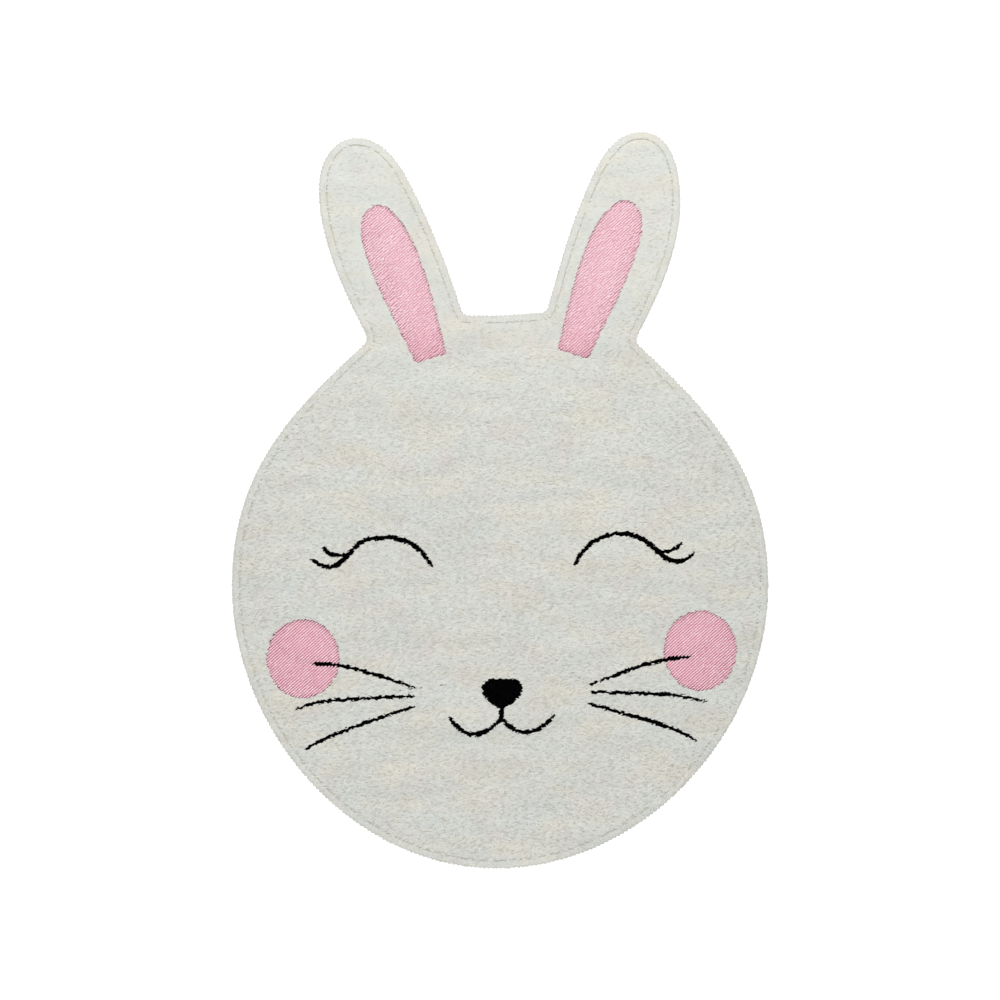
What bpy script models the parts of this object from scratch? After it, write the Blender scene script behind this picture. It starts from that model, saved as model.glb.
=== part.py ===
# A rabbit-shaped rug for a child's room, lying flat: one piece of cloth in a high and low weave.
# The pale pile stands high. The inner ears, the cheeks and the lines of the face are woven flat
# and lie lower than the pile. The edge is turned under and held by a seam just inside it.
# Metres, +Z up. The origin is under the middle of the outline, and +Y points to the ears.

import math
from collections import namedtuple

import bmesh
import bpy
from mathutils import Matrix, Vector

# Driving dimensions
RUG_WIDTH = 0.800
RUG_LENGTH = 1.100
PILE_TOP = 0.0080         # underside to the tips of the pile
PATCH_LEVEL = 0.0045      # top of the flat-woven ears and cheeks
LINE_LEVEL = 0.0040       # top of the closer-woven nose, eyes, mouth and whiskers
WALL_FOOT = 0.0020        # where the upright part of the edge starts
WALL_TOP = 0.0045         # where it ends and starts to roll over
SEAM_DEPTH = 0.0015

# How the drawn curves are cut into straight facets
OUTLINE_FACET = 0.018
FIGURE_FACET = 0.008
LARGEST_TURN = 8.0        # degrees from one facet to the next
CORNER_FACETS = 4
CHEEK_FACETS = 40
END_TAPER = 0.45          # a line's width at its two ends, as a share of its full width

MILLIMETRE = 0.001
CUTTER_TOP = 2.0 * PILE_TOP
PILE_COLOUR = "D8D7CF"
PILE_ROUGHNESS = 0.95

# A knot of a drawn curve. x and y are in millimetres. arrive and leave are the curve's headings
# in degrees, anticlockwise from +X. full says how far the stretch after the knot bulges,
# compared with a plain arc. soften is how far from a corner its rounding starts, in millimetres.
Knot = namedtuple("Knot", "place x y arrive leave full soften", defaults=(1.0, 0.0))

# Anticlockwise round the rug. The two sides are a little uneven, as a cut and sewn edge is.
OUTLINE = (
    Knot("chin", -5, -550, 0, 0, 0.96),
    Knot("right_cheek", 400, -127, 90, 90, 1.13),
    Knot("right_outer_neck", 200, 237, 138, 62, 1.0, 12),
    Knot("right_ear_outside", 269, 448, 90, 90),
    Knot("right_ear_tip", 211, 550, 180, 180),
    Knot("right_ear_inside", 126, 455, 247, 247),
    Knot("right_inner_neck", 70, 280, 254, 184, 1.0, 9),
    Knot("left_inner_neck", -56, 276, 177, 107, 1.0, 9),
    Knot("left_ear_inside", -126, 455, 116, 116),
    Knot("left_ear_tip", -214, 541, 180, 180),
    Knot("left_ear_outside", -270, 467, 270, 270),
    Knot("left_outer_neck", -195, 239, 297, 222, 1.13, 12),
    Knot("left_cheek", -400, -127, 270, 270, 0.96),
)

# The pink inside of the left ear, upright and about its middle. Its outer side is the fuller one.
INNER_EAR = (
    Knot("inner_foot", 24, -122, 0, 85, 1.0, 4),
    Knot("inner_side", 33, 5, 90, 90),
    Knot("inner_shoulder", 22, 92, 112, 112),
    Knot("tip", -4, 122, 180, 180),
    Knot("outer_side", -41, 52, 270, 270),
    Knot("outer_foot", -23, -121, 276, 0, 1.0, 4),
)

NOSE = (
    Knot("left", -27, -281, 270, 270),
    Knot("point", 2, -313, 330, 30),
    Knot("right", 33, -281, 90, 90),
    Knot("top", 4, -266, 180, 180),
)

# lean is the turn from upright in degrees, positive to the right. side is -1 for a mirrored ear.
InnerEar = namedtuple("InnerEar", "name x y lean side")
INNER_EARS = (
    InnerEar("left_inner_ear", -143, 326, -19.0, 1.0),
    InnerEar("right_inner_ear", 148, 333, 18.5, -1.0),
)

Cheek = namedtuple("Cheek", "name x y half_width half_length")
CHEEKS = (
    Cheek("left_cheek", -294, -237, 54, 59),
    Cheek("right_cheek", 299, -225, 54, 60),
)

# The drawn lines of the face. width is in millimetres. Each step is x, y and heading, as in a knot.
FaceLine = namedtuple("FaceLine", "name width steps")
FACE_LINES = (
    FaceLine("left_lid", 7.0, (
        (-102, -100, 114), (-168, -56, 180), (-215, -69, 223), (-255, -100, 180), (-282, -88, 142))),
    FaceLine("left_lash", 5.5, ((-228, -80, 205), (-264, -70, 118))),
    FaceLine("right_lid", 7.0, (
        (112, -98, 72), (182, -50, 0), (228, -70, 318), (264, -92, 0), (290, -79, 42))),
    FaceLine("right_lash", 5.5, ((232, -75, 344), (272, -62, 62))),
    FaceLine("lip_stem", 6.0, ((2, -306, 270), (2, -331, 270))),
    FaceLine("left_lip", 6.5, ((3, -325, 230), (-38, -350, 180), (-76, -324, 126))),
    FaceLine("right_lip", 6.5, ((1, -325, 312), (38, -347, 0), (81, -321, 50))),
    FaceLine("left_upper_whisker", 5.5, ((-280, -245, 3), (-128, -280, 342))),
    FaceLine("left_middle_whisker", 5.5, ((-304, -313, 28), (-245, -299, 5), (-128, -293, 2))),
    FaceLine("left_lower_whisker", 5.5, ((-291, -373, 33), (-226, -342, 21), (-128, -308, 18))),
    FaceLine("right_upper_whisker", 5.5, ((135, -276, 22), (219, -245, 16), (284, -234, 4))),
    FaceLine("right_middle_whisker", 5.5, ((135, -287, 0), (245, -290, 357), (308, -301, 345))),
    FaceLine("right_lower_whisker", 5.5, ((132, -304, 344), (237, -334, 342), (293, -359, 328))),
)

# Each row goes further in from the edge and up or down, in metres
EdgeStep = namedtuple("EdgeStep", "place inward rise")
UPPER_EDGE = (
    EdgeStep("rolling over", 0.0010, 0.0020),
    EdgeStep("nearly level", 0.0030, 0.0013),
    EdgeStep("crest of the turned edge", 0.0055, 0.0002),
    EdgeStep("bottom of the seam", 0.0015, -SEAM_DEPTH),
    EdgeStep("level pile", 0.0015, SEAM_DEPTH),
)
LOWER_EDGE = (
    EdgeStep("rolling under", 0.0006, 0.0014),
    EdgeStep("underside", 0.0010, 0.0006),
)


def direction(heading):
    """Give the unit vector of a heading in degrees."""
    angle = math.radians(heading)
    return Vector((math.cos(angle), math.sin(angle)))


def turn_between(leave, arrive):
    """Give the turn between two headings, in degrees, as a positive number up to 180."""
    return abs((arrive - leave + 180.0) % 360.0 - 180.0)


def arc_handle(turn):
    """Give the length of a curve's handles that makes it an arc, as a share of its chord."""
    if turn < 1.0:
        return 1.0 / 3.0
    angle = math.radians(turn)
    return (4.0 / 3.0) * math.tan(angle / 4.0) / (2.0 * math.sin(angle / 2.0))


def curve_between(start, leave, end, arrive, facet, full=1.0):
    """Give the points of a smooth curve from start up to, but without, its end."""
    chord = (end - start).length
    turn = turn_between(leave, arrive)
    reach = chord * full * arc_handle(turn)
    first_handle = start + reach * direction(leave)
    second_handle = end - reach * direction(arrive)
    count = max(math.ceil(chord / facet), math.ceil(turn / LARGEST_TURN), 1)
    points = []
    for step in range(count):
        t = step / count
        s = 1.0 - t
        point = s ** 3 * start + t ** 3 * end
        point += 3.0 * s * t * (s * first_handle + t * second_handle)
        points.append(point)
    return points


def softened_corner(knot, corner):
    """Give the points that round a corner off."""
    reach = knot.soften * MILLIMETRE
    before = corner - reach * direction(knot.arrive)
    after = corner + reach * direction(knot.leave)
    points = []
    for step in range(CORNER_FACETS + 1):
        t = step / CORNER_FACETS
        s = 1.0 - t
        points.append(s * s * before + 2.0 * s * t * corner + t * t * after)
    return points


def closed_curve(knots, facet):
    """Give the points of the closed curve through all the knots."""
    points = []
    for index, knot in enumerate(knots):
        following = knots[(index + 1) % len(knots)]
        start = Vector((knot.x, knot.y)) * MILLIMETRE
        end = Vector((following.x, following.y)) * MILLIMETRE
        stretch = curve_between(start, knot.leave, end, following.arrive, facet, knot.full)
        if knot.soften:
            stretch[:1] = softened_corner(knot, start)
        points.extend(stretch)
    return points


def sizing(outline):
    """Give the matrix that centres the drawing and brings it to the rug's width and length."""
    low = Vector((min(point.x for point in outline), min(point.y for point in outline)))
    high = Vector((max(point.x for point in outline), max(point.y for point in outline)))
    size = high - low
    middle = (low + high) / 2.0
    scale = Matrix.Diagonal((RUG_WIDTH / size.x, RUG_LENGTH / size.y, 1.0, 1.0))
    return scale @ Matrix.Translation((-middle.x, -middle.y, 0.0))


def ear_patch(ear):
    """Give the outline of one inner ear, leaned and put in its place."""
    place = Vector((ear.x, ear.y)) * MILLIMETRE
    lean = Matrix.Rotation(math.radians(-ear.lean), 2) @ Matrix.Diagonal((ear.side, 1.0))
    return [place + lean @ point for point in closed_curve(INNER_EAR, FIGURE_FACET)]


def cheek_patch(cheek):
    """Give the oval outline of one cheek."""
    points = []
    for step in range(CHEEK_FACETS):
        angle = 2.0 * math.pi * step / CHEEK_FACETS
        across = cheek.x + cheek.half_width * math.cos(angle)
        along = cheek.y + cheek.half_length * math.sin(angle)
        points.append(Vector((across, along)) * MILLIMETRE)
    return points


def line_middle(line):
    """Give the points along the middle of one drawn line, from end to end."""
    points = []
    for first, second in zip(line.steps, line.steps[1:]):
        start = Vector(first[:2]) * MILLIMETRE
        end = Vector(second[:2]) * MILLIMETRE
        points.extend(curve_between(start, first[2], end, second[2], FIGURE_FACET))
    points.append(end)
    return points


def line_outline(line):
    """Give the outline of one drawn line, narrower at its ends."""
    middle = line_middle(line)
    last = len(middle) - 1
    left_side = []
    right_side = []
    for index, point in enumerate(middle):
        along = (middle[min(index + 1, last)] - middle[max(index - 1, 0)]).normalized()
        across = Vector((-along.y, along.x))
        progress = index / last
        share = END_TAPER + (1.0 - END_TAPER) * math.sqrt(4.0 * progress * (1.0 - progress))
        half_width = share * line.width * MILLIMETRE / 2.0
        left_side.append(point + half_width * across)
        right_side.append(point - half_width * across)
    return right_side + left_side[::-1]


def extruded_mesh(outline, placing, bottom, top):
    """Give a bmesh of the outline's upright prism, with its lower and upper faces."""
    mesh = bmesh.new()
    corners = []
    for point in outline:
        placed = placing @ Vector((point.x, point.y, 0.0))
        corners.append(mesh.verts.new((placed.x, placed.y, bottom)))
    lower = mesh.faces.new(corners)
    extrusion = bmesh.ops.extrude_face_region(mesh, geom=[lower])["geom"]
    raised = [item for item in extrusion if isinstance(item, bmesh.types.BMVert)]
    upper = [item for item in extrusion if isinstance(item, bmesh.types.BMFace)][0]
    bmesh.ops.translate(mesh, verts=raised, vec=(0.0, 0.0, top - bottom))
    bmesh.ops.recalc_face_normals(mesh, faces=mesh.faces)
    return mesh, lower, upper


def mesh_object(name, mesh):
    """Turn a bmesh into an object."""
    data = bpy.data.meshes.new(name)
    mesh.to_mesh(data)
    mesh.free()
    return bpy.data.objects.new(name, data)


def linear_colour(hex_colour):
    """Turn an sRGB hex colour into linear red, green, blue and alpha."""
    linear = []
    for start in (0, 2, 4):
        value = int(hex_colour[start:start + 2], 16) / 255.0
        linear.append(value / 12.92 if value <= 0.04045 else ((value + 0.055) / 1.055) ** 2.4)
    return (*linear, 1.0)


def pile_material():
    """Make the matt, pale material of the pile."""
    material = bpy.data.materials.new("pile_cream")
    material.use_nodes = True
    shader = material.node_tree.nodes["Principled BSDF"]
    shader.inputs["Base Color"].default_value = linear_colour(PILE_COLOUR)
    shader.inputs["Roughness"].default_value = PILE_ROUGHNESS
    shader.inputs["Metallic"].default_value = 0.0
    return material


def make_sheet(outline, placing):
    """Make the rug's cloth, with its turned edge and its seam, before the figure is sunk."""
    mesh, lower, upper = extruded_mesh(outline, placing, WALL_FOOT, WALL_TOP)
    for face, profile in ((upper, UPPER_EDGE), (lower, LOWER_EDGE)):
        for step in profile:
            bmesh.ops.inset_region(
                mesh,
                faces=[face],
                thickness=step.inward,
                depth=step.rise,
                use_even_offset=True,
            )
    sheet = mesh_object("rug", mesh)
    sheet.data.shade_smooth()
    sheet.data.set_sharp_from_angle(angle=math.radians(40.0))
    sheet.data.materials.append(pile_material())
    bpy.context.scene.collection.objects.link(sheet)
    return sheet


def add_cutter(cutters, name, outline, placing, floor):
    """Add a hidden cutter that sinks one figure down to its floor."""
    mesh = extruded_mesh(outline, placing, floor, CUTTER_TOP)[0]
    cutter = mesh_object(name, mesh)
    cutter.hide_render = True
    cutter.display_type = "WIRE"
    cutters.objects.link(cutter)


def make_rug():
    """Make the whole rug."""
    outline = closed_curve(OUTLINE, OUTLINE_FACET)
    placing = sizing(outline)
    rug = make_sheet(outline, placing)

    cutters = bpy.data.collections.new("figure_cutters")
    bpy.context.scene.collection.children.link(cutters)
    for ear in INNER_EARS:
        add_cutter(cutters, ear.name, ear_patch(ear), placing, PATCH_LEVEL)
    for cheek in CHEEKS:
        add_cutter(cutters, cheek.name, cheek_patch(cheek), placing, PATCH_LEVEL)
    add_cutter(cutters, "nose", closed_curve(NOSE, FIGURE_FACET), placing, LINE_LEVEL)
    for line in FACE_LINES:
        add_cutter(cutters, line.name, line_outline(line), placing, LINE_LEVEL)

    sinking = rug.modifiers.new("figure", "BOOLEAN")
    sinking.operation = "DIFFERENCE"
    sinking.operand_type = "COLLECTION"
    sinking.collection = cutters
    sinking.solver = "EXACT"


for thing in list(bpy.data.objects):
    bpy.data.objects.remove(thing, do_unlink=True)
make_rug()
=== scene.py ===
import math

import bmesh
import bpy
import numpy as np
from mathutils import Matrix, Vector
from mathutils.bvhtree import BVHTree
from mathutils.kdtree import KDTree


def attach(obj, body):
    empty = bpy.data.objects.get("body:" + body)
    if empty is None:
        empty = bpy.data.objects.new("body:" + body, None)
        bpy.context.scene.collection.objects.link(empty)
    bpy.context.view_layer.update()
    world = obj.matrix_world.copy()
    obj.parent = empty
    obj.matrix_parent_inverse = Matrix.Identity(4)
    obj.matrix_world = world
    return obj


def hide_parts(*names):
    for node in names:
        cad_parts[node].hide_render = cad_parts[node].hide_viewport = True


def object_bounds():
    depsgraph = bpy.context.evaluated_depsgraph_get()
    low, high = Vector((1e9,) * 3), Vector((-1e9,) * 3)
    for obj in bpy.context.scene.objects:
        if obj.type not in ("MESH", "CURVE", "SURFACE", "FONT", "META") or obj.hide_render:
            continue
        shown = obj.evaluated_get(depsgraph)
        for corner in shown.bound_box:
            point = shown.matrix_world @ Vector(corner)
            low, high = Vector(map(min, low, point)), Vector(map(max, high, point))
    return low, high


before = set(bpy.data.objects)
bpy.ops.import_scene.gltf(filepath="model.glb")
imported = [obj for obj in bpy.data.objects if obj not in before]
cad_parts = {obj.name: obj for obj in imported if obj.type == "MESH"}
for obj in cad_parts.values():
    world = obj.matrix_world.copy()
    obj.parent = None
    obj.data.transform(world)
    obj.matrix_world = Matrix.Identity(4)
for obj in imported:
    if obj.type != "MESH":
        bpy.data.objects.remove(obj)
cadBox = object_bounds()
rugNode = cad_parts["rug"]
mm = 0.001
print("frame loaded")


# small helpers for colours, nodes and meshes

def linearColour(hexColour):
    parts = [int(hexColour[i:i + 2], 16) / 255 for i in (0, 2, 4)]
    return tuple(p / 12.92 if p <= 0.04045 else ((p + 0.055) / 1.055) ** 2.4 for p in parts) + (1.0,)


def addNode(tree, kind, settings=(), links=()):
    # settings are socket values or node properties by name, links are sockets by the input they feed
    node = tree.nodes.new(kind)
    for key, value in dict(settings).items():
        if isinstance(key, int) or key in node.inputs:
            node.inputs[key].default_value = value
        else:
            setattr(node, key, value)
    for key, source in dict(links).items():
        tree.links.new(source, node.inputs[key])
    return node


def newMaterial(name, settings):
    # a material with its one Principled shader, and the shader's own socket values
    material = bpy.data.materials.new(name)
    material.use_nodes = True
    shader = material.node_tree.nodes["Principled BSDF"]
    for key, value in settings.items():
        shader.inputs[key].default_value = value
    return material, material.node_tree, shader


def colourRamp(tree, factor, stops):
    ramp = addNode(tree, "ShaderNodeValToRGB", {}, {"Fac": factor})
    elements = ramp.color_ramp.elements
    while len(elements) < len(stops):
        elements.new(0.5)
    for element, (place, colour) in zip(elements, stops):
        element.position = place
        element.color = linearColour(colour)
    return ramp.outputs["Color"]


def newPiece(name, mesh, material):
    piece = bpy.data.objects.new(name, mesh)
    bpy.context.scene.collection.objects.link(piece)
    mesh.materials.append(material)
    mesh.shade_smooth()
    return piece


def meshFrom(name, shape):
    mesh = bpy.data.meshes.new(name)
    shape.to_mesh(mesh)
    shape.free()
    return mesh


# what the frame's rug says: its outline, and where it is pile, pink or black

survey = {
    "cell": 1.0 * mm,           # the map's grid
    "margin": 12 * mm,          # empty map round the rug
    "wallFoot": 2.0 * mm,       # the ring of points there is the outline
    "patchLevel": 4.5 * mm,     # flat floor of the pink patches
    "lineLevel": 4.0 * mm,      # flat floor of the black lines
    "nearEnough": 0.05 * mm,
    "flatEnough": 0.999,        # a floor's normal points up by this much
    "above": 10 * mm,           # the rays start this far over the rug
    "weld": 0.01 * mm,          # corners nearer than this are one
    "ringStep": 1.5 * mm,       # spacing of the outline's points once they are evenly spread
}
offZone, pileZone, pinkZone, blackZone = range(4)


def mapZones():
    surface = BVHTree.FromObject(rugNode, bpy.context.evaluated_depsgraph_get())
    low = Vector(cadBox[0]) - Vector((survey["margin"], survey["margin"], 0))
    high = Vector(cadBox[1]) + Vector((survey["margin"], survey["margin"], 0))
    countX = math.ceil((high.x - low.x) / survey["cell"])
    countY = math.ceil((high.y - low.y) / survey["cell"])
    zones = np.zeros((countY, countX), dtype=np.int8)
    down = Vector((0, 0, -1))
    start = Vector((0, 0, high.z + survey["above"]))
    for row in range(countY):
        start.y = low.y + (row + 0.5) * survey["cell"]
        for column in range(countX):
            start.x = low.x + (column + 0.5) * survey["cell"]
            spot, normal = surface.ray_cast(start, down)[:2]
            if spot is None:
                continue
            zones[row, column] = pileZone
            if normal.z > survey["flatEnough"]:
                if abs(spot.z - survey["patchLevel"]) < survey["nearEnough"]:
                    zones[row, column] = pinkZone
                elif abs(spot.z - survey["lineLevel"]) < survey["nearEnough"]:
                    zones[row, column] = blackZone
    return zones, np.array(low[:2])


def zoneAt(places):
    cells = np.floor((places - zoneCorner) / survey["cell"]).astype(int)
    return zoneMap[
        np.clip(cells[:, 1], 0, zoneMap.shape[0] - 1),
        np.clip(cells[:, 0], 0, zoneMap.shape[1] - 1),
    ]


def mergedCadCopy():
    shape = bmesh.new()
    shape.from_mesh(rugNode.data)
    bmesh.ops.remove_doubles(shape, verts=shape.verts, dist=survey["weld"])
    return shape


def outlineCorners():
    # walks the ring of points at the foot of the upright edge
    shape = mergedCadCopy()
    onRing = {v for v in shape.verts if abs(v.co.z - survey["wallFoot"]) < survey["nearEnough"]}
    here = min(onRing, key=lambda v: v.co.y)
    walked = [here]
    while True:
        neighbours = [e.other_vert(here) for e in here.link_edges]
        ahead = [v for v in neighbours if v in onRing and v not in walked[-2:] and v is not walked[0]]
        if len(walked) == 1:
            ahead = [max(ahead, key=lambda v: v.co.x)]  # anticlockwise from the chin
        if not ahead:
            break
        here = ahead[0]
        walked.append(here)
    corners = np.array([v.co[:2] for v in walked])
    shape.free()
    return corners


def evenRing(corners, step):
    # the same loop with evenly spread points, and the direction straight out of the rug at each
    closed = np.vstack([corners, corners[:1]])
    along = np.concatenate([[0], np.cumsum(np.linalg.norm(np.diff(closed, axis=0), axis=1))])
    places = np.linspace(0, along[-1], round(along[-1] / step), endpoint=False)
    ring = np.stack([np.interp(places, along, closed[:, i]) for i in (0, 1)], axis=1)
    ahead = np.roll(ring, -2, axis=0) - np.roll(ring, 2, axis=0)
    ahead /= np.linalg.norm(ahead, axis=1)[:, None]
    return ring, np.stack([ahead[:, 1], -ahead[:, 0]], axis=1)


zoneMap, zoneCorner = mapZones()
rimCorners = outlineCorners()
rim, rimOut = evenRing(rimCorners, survey["ringStep"])
rimTree = KDTree(len(rim))
for rimIndex, rimPoint in enumerate(rim):
    rimTree.insert((rimPoint[0], rimPoint[1], 0), rimIndex)
rimTree.balance()
print("rug surveyed:", len(rim), "rim points,", int((zoneMap == pinkZone).sum()), "pink cells")


def fromRim(places):
    # how far inside the outline each place is, the direction straight out there,
    # and how far round the rim
    found = np.array([rimTree.find((x, y, 0))[1] for x, y in places])
    out = rimOut[found]
    inside = -np.einsum("ij,ij->i", places - rim[found], out)
    return inside, out, found * survey["ringStep"]


def direction(heading):
    return np.stack([np.cos(heading), np.sin(heading)], axis=1)


swells = {"count": 7, "shortest": 0.7, "longest": 1.6}  # lengths as shares of the size asked for


def softWaves(places, size, seed):
    # smooth unevenness from about -1 to 1, with swells of about this size
    draw = np.random.default_rng(seed)
    total = np.zeros(len(places))
    for _ in range(swells["count"]):
        angle, phase = draw.uniform(0, 2 * math.pi, 2)
        pitch = size * draw.uniform(swells["shortest"], swells["longest"])
        total += np.sin(2 * math.pi * (places @ (math.cos(angle), math.sin(angle))) / pitch + phase)
    return total / (swells["count"] / 2)


# materials

def makeChenillePile(name, tone):
    # cut chenille yarn, polyester: dead matt, off-white, in faint cream and rose clouds.
    # tone multiplies the colour; for the foot of the pile it darkens it, a painted shade
    material, tree, shader = newMaterial(name, {
        "Roughness": 1.0, "Specular IOR Level": 0.2,
        "Sheen Weight": 0.15, "Sheen Roughness": 0.6,
    })
    spot = addNode(tree, "ShaderNodeTexCoord").outputs["Object"]
    flat = addNode(tree, "ShaderNodeMapping", {"Scale": (0.55, 1.3, 1.0)}, {"Vector": spot})
    cloud = addNode(tree, "ShaderNodeTexNoise", {"Scale": 20.0, "Detail": 3.0}, {"Vector": flat.outputs[0]})
    cream = colourRamp(tree, cloud.outputs["Fac"],
                       [(0.32, "D7DAD5"), (0.50, "D9DAD3"), (0.68, "DDDACF")])
    aside = addNode(tree, "ShaderNodeMapping", {"Location": (3.1, 1.7, 0.0)}, {"Vector": spot})
    blush = addNode(tree, "ShaderNodeTexNoise", {"Scale": 22.0, "Detail": 2.0}, {"Vector": aside.outputs[0]})
    rose = colourRamp(tree, blush.outputs["Fac"], [(0.55, "000000"), (0.80, "FFFFFF")])
    tinted = addNode(tree, "ShaderNodeMix", {"data_type": "RGBA", 7: linearColour("DAD5CF")},
                     {0: rose, 6: cream})
    strand = addNode(tree, "ShaderNodeAttribute", {"attribute_name": "strand"})
    shadeHeight = addNode(tree, "ShaderNodeAttribute", {"attribute_name": "shadeHeight"})
    upright = addNode(tree, "ShaderNodeSeparateXYZ", {}, {0: spot}).outputs["Y"]
    earRange = {"From Min": 0.12, "From Max": 0.32}  # painted light: the ears are made paler and more even than the face, as if lit brighter and more softly
    swing = addNode(tree, "ShaderNodeMapRange", {**earRange, "To Min": 0.16, "To Max": 0.06},
                    {"Value": upright})
    level = addNode(tree, "ShaderNodeMapRange", {**earRange, "To Min": 0.9, "To Max": 0.96},
                    {"Value": upright})
    nap = addNode(tree, "ShaderNodeMapping", {"Scale": (0.35, 1.5, 1.0)}, {"Vector": spot})
    waves = addNode(tree, "ShaderNodeTexNoise", {"Scale": 24.0, "Detail": 2.0}, {"Vector": nap.outputs[0]})
    napLightAndShade = addNode(tree, "ShaderNodeMath", {"operation": "MULTIPLY_ADD", 1: 0.2, 2: -0.1},
                     {0: waves.outputs["Fac"]})  # painted light and shade: broad waves of nap that run across the rug, drawn as brighter and darker bands where the lie of the pile catches the light
    lifted = addNode(tree, "ShaderNodeMath", {"operation": "ADD"}, {0: level.outputs[0], 1: napLightAndShade.outputs[0]})
    # painted shade: each tuft is darker low on its foot and sides and lighter along its ridge and tip; strand
    # adds its own random tone
    above = addNode(tree, "ShaderNodeMath", {"operation": "MULTIPLY_ADD", 1: 0.4, 2: -0.5},
                    {0: shadeHeight.outputs["Fac"]})
    toneAndShade = addNode(tree, "ShaderNodeMath", {"operation": "ADD"},
                     {0: strand.outputs["Fac"], 1: above.outputs[0]})
    shade = addNode(tree, "ShaderNodeMath", {"operation": "MULTIPLY_ADD"},
                    {0: toneAndShade.outputs[0], 1: swing.outputs[0], 2: lifted.outputs[0]})
    varied = addNode(tree, "ShaderNodeVectorMath", {"operation": "SCALE"},
                     {0: tinted.outputs[2], "Scale": shade.outputs[0]})
    toned = addNode(tree, "ShaderNodeVectorMath", {"operation": "MULTIPLY", 1: tone},
                    {0: varied.outputs[0]})
    tree.links.new(toned.outputs[0], shader.inputs["Base Color"])
    across = addNode(tree, "ShaderNodeAttribute", {"attribute_name": "across"})
    waver = addNode(tree, "ShaderNodeTexNoise", {"Scale": 420.0, "Detail": 1.0},
                    {"Vector": spot})  # 2.4 mm bends
    bent = addNode(tree, "ShaderNodeMath", {"operation": "MULTIPLY_ADD", 1: 88.0},
                   {0: across.outputs["Fac"]})  # 14 fibres to a tuft
    bend = addNode(tree, "ShaderNodeMath", {"operation": "MULTIPLY", 1: 22.0}, {0: waver.outputs["Fac"]})
    tree.links.new(bend.outputs[0], bent.inputs[2])
    fibres = addNode(tree, "ShaderNodeMath", {"operation": "SINE"}, {0: bent.outputs[0]})
    bump = addNode(tree, "ShaderNodeBump", {"Strength": 0.42, "Distance": 0.15 * mm},
                   {"Height": fibres.outputs[0]})
    tree.links.new(bump.outputs[0], shader.inputs["Normal"])
    return material


def makePinkTwill(name, shadedGap, shades, deepens):
    # cotton weft floats: matt with a slight gloss along each float, and a painted shade darker down their
    # sides and between them.
    # deepens gives the two heights up the rug between which the pink grows fuller, or two off the rug
    material, tree, shader = newMaterial(name, {"Roughness": 0.8, "Specular IOR Level": 0.3})
    strand = addNode(tree, "ShaderNodeAttribute", {"attribute_name": "strand"})
    pink = colourRamp(tree, strand.outputs["Fac"], [(0.0, shades[0]), (0.5, shades[1]), (1.0, shades[2])])
    shadeHeight = addNode(tree, "ShaderNodeAttribute", {"attribute_name": "shadeHeight"})
    # painted shade: low on each float, and on the bed between, the pink gives way to the gap colour
    upper = addNode(tree, "ShaderNodeMapRange", {"From Min": 0.35, "From Max": 0.95},
                    {"Value": shadeHeight.outputs["Fac"]})
    depth = addNode(tree, "ShaderNodeMix", {"data_type": "RGBA", 6: linearColour(shadedGap)},
                    {0: upper.outputs[0], 7: pink})
    spot = addNode(tree, "ShaderNodeTexCoord").outputs["Object"]
    cloud = addNode(tree, "ShaderNodeTexNoise", {"Scale": 26.0, "Detail": 2.0}, {"Vector": spot})
    upright = addNode(tree, "ShaderNodeSeparateXYZ", {}, {0: spot}).outputs["Y"]
    foot = addNode(tree, "ShaderNodeMapRange", {"From Min": deepens[0], "From Max": deepens[1]},
                   {"Value": upright})
    fuller = addNode(tree, "ShaderNodeMath",
                     {"operation": "MULTIPLY_ADD", 1: 0.9, 2: -0.35, "use_clamp": True},
                     {0: cloud.outputs["Fac"]})
    both = addNode(tree, "ShaderNodeMath", {"operation": "MAXIMUM"},
                   {0: fuller.outputs[0], 1: foot.outputs[0]})
    toned = addNode(tree, "ShaderNodeMix",
                    {"data_type": "RGBA", "blend_type": "MULTIPLY", 7: linearColour("F6E8EC")},
                    {0: both.outputs[0], 6: depth.outputs[2]})
    tree.links.new(toned.outputs[2], shader.inputs["Base Color"])
    fibre = addNode(tree, "ShaderNodeTexNoise", {"Scale": 1800.0, "Detail": 1.0},
                    {"Vector": spot})  # 0.5 mm plies
    bump = addNode(tree, "ShaderNodeBump", {"Strength": 0.25, "Distance": 0.2 * mm},
                   {"Height": fibre.outputs["Fac"]})
    tree.links.new(bump.outputs[0], shader.inputs["Normal"])
    return material


def makeBlackYarn():
    # black dyed yarn, so matt that it hardly shows its own form
    material, tree, shader = newMaterial("black_yarn", {"Roughness": 1.0, "Specular IOR Level": 0.0})
    strand = addNode(tree, "ShaderNodeAttribute", {"attribute_name": "strand"})
    black = colourRamp(tree, strand.outputs["Fac"], [(0.0, "020202"), (1.0, "080808")])
    tree.links.new(black, shader.inputs["Base Color"])
    return material


def makeSeamThread():
    # spun polyester sewing thread in cream, a little glossy
    material, tree, shader = newMaterial("seam_thread", {"Roughness": 0.6})
    spot = addNode(tree, "ShaderNodeTexCoord").outputs["Object"]
    ply = addNode(tree, "ShaderNodeTexNoise", {"Scale": 900.0}, {"Vector": spot})  # 1 mm turns of the plies
    cream = colourRamp(tree, ply.outputs["Fac"], [(0.3, "B9AF92"), (0.7, "CFC7AC")])
    tree.links.new(cream, shader.inputs["Base Color"])
    return material


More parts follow.
